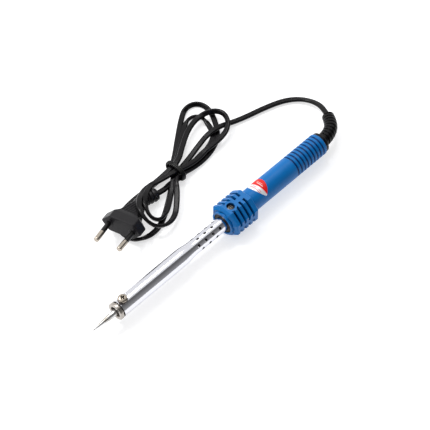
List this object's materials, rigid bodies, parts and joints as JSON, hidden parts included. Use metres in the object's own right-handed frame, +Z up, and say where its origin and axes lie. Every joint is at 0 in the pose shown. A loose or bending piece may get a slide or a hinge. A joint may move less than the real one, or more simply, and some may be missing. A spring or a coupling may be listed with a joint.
{
  "type": "soldering iron",
  "caption": "Mains soldering iron with a clamped conical bit, chromed vented barrel, octagonal guard, ringed handle, and a tied flat cord with a two-pin plug.",
  "frame": {"origin": "on the table below the axis of the iron, 108.5 mm in front of the rear end of the handle, which is 1.4 mm behind the middle of the length from point to handle end", "axes": "+X along the iron from the bit towards the cord, +Z up, +Y towards the side where the tied cord lies"},
  "size_m": [0.2533, 0.1128, 0.0242],
  "materials": {
    "tip_plating": "plated bit, satin, slightly warm",
    "nickel_screw": "bright nickel, crossed recess",
    "blued_steel": "dark steel washer",
    "nickel_collar": "turned nickel-plated steel",
    "barrel_chrome": "bright chromed tube with fine drawing lines",
    "inner_steel": "plain steel tube",
    "mica": "flaky mica wrap",
    "resistance_alloy": "nickel-chrome wire",
    "ceramic_bush": "unglazed ceramic",
    "glass_fibre": "braided glass-fibre sleeving",
    "crimp_brass": "crimped brass",
    "core_insulation": "blue and brown core insulation",
    "cord_pvc": "black flexible cord sheath with a soft sheen",
    "clamp_plastic": "black heat-resistant moulding",
    "boot_rubber": "black ribbed sleeve",
    "handle_blue": "moulded blue plastic, satin gloss",
    "label_paper": "oval label, silver-white and red",
    "fixing_steel": "small screw heads deep in their holes",
    "insulator_black": "black heat-resistant ring",
    "tie_black": "black coated wire tie",
    "plug_pvc": "black moulded plug",
    "nickel_pins": "nickel-plated brass pins",
    "pin_sleeve": "black sleeves round the roots of the pins"
  },
  "bodies": {
    "iron": {"nose_collar": "nickel_collar", "barrel_tube": "barrel_chrome", "heater_core_tube": "inner_steel", "mica_inner_sleeve": "mica", "heater_winding": "resistance_alloy", "mica_outer_sleeve": "mica", "heater_rear_bush": "ceramic_bush", "element_leads": "resistance_alloy", "lead_sleeves": "glass_fibre", "crimp_connectors": "crimp_brass", "cord_cores": "core_insulation", "cord_in_handle": "cord_pvc", "mains_cord_lead": "cord_pvc", "cord_clamp": "clamp_plastic", "strain_relief_boot": "boot_rubber", "handle": "handle_blue", "handle_label": "label_paper", "barrel_holder": "clamp_plastic", "barrel_fixing_screws": "fixing_steel", "heat_insulator_ring": "insulator_black", "cord_hank": "cord_pvc", "cord_tie": "tie_black", "plug_body": "plug_pvc", "plug_pins": "nickel_pins", "plug_pin_sleeves": "pin_sleeve", "plug_strain_relief": "plug_pvc"},
    "bit": {"soldering_tip": "tip_plating"},
    "screw_washer": {"tip_screw_washer": "blued_steel"},
    "screw": {"tip_screw": "nickel_screw"}
  },
  "joints": [
    {"name": "bit_slide", "type": "slide", "parent": "iron", "child": "bit", "axis": [-1, 0, 0], "range_m": [0, 0.05]},
    {"name": "screw_lift", "type": "slide", "parent": "iron", "child": "screw_washer", "axis": [0, 0, 1], "range_m": [0, 0.0021]},
    {"name": "screw_turn", "type": "hinge", "parent": "screw_washer", "child": "screw", "pos_m": [-0.0839, 0, 0.0121], "axis": [0, 0, 1], "range_deg": [0, 1081]}
  ],
  "couplings": [
    {"joint": "screw_turn", "follows": "screw_lift", "rad_per_m": 8976}
  ]
}
